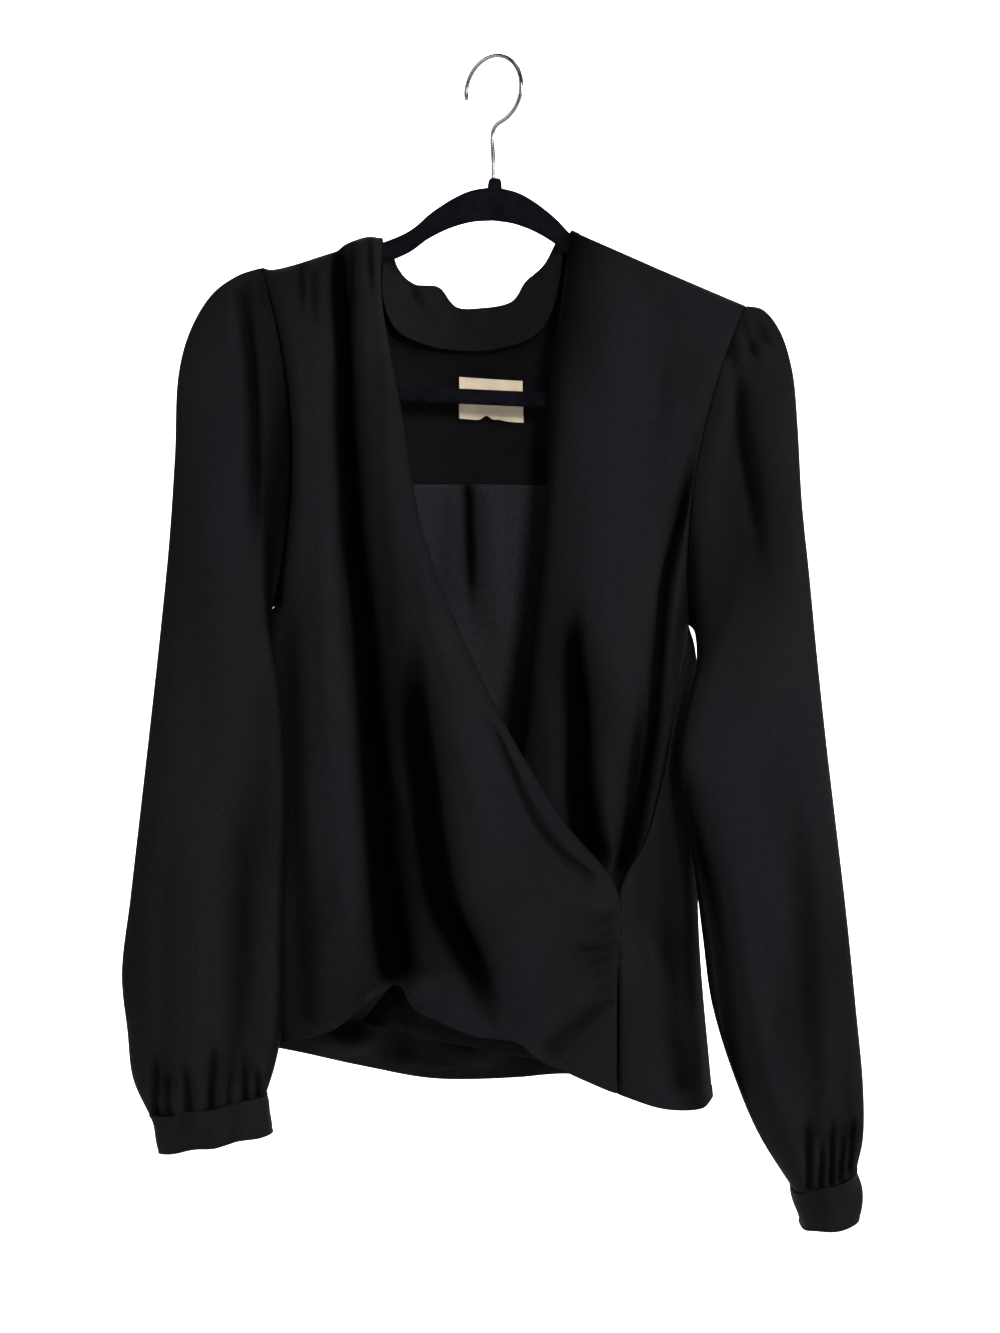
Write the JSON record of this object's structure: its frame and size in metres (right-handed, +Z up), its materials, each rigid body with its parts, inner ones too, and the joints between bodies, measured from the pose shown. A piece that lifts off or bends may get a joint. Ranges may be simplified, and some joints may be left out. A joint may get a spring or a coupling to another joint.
{
  "type": "wrap top on a hanger",
  "caption": "Long-sleeved crossover blouse in matte crepe, with gathered sleeves and cuffs, hanging on a slim flocked hanger with a wire hook.",
  "frame": {"origin": "where it is held: the inside top of the hanger's hook", "axes": "+Z up, opposite to the hang; -Y out of the front of the garment; +X to the wearer's left"},
  "size_m": [0.532, 0.118, 0.8523],
  "materials": {
    "crepe": "matte black crepe with a fine pebbled grain",
    "label_tape": "cream woven satin tape, bare",
    "flock": "short bluish-black flock over moulded plastic",
    "steel": "polished steel wire"
  },
  "bodies": {
    "root": {"front_right_over": "crepe", "front_left_under": "crepe", "side_panel_left": "crepe", "back_yoke": "crepe", "back_body": "crepe", "back_collar": "crepe", "sleeve_right": "crepe", "cuff_right": "crepe", "sleeve_left": "crepe", "cuff_left": "crepe", "neck_label": "label_tape", "hanger_body": "flock", "hanger_hook": "steel"}
  },
  "joints": []
}
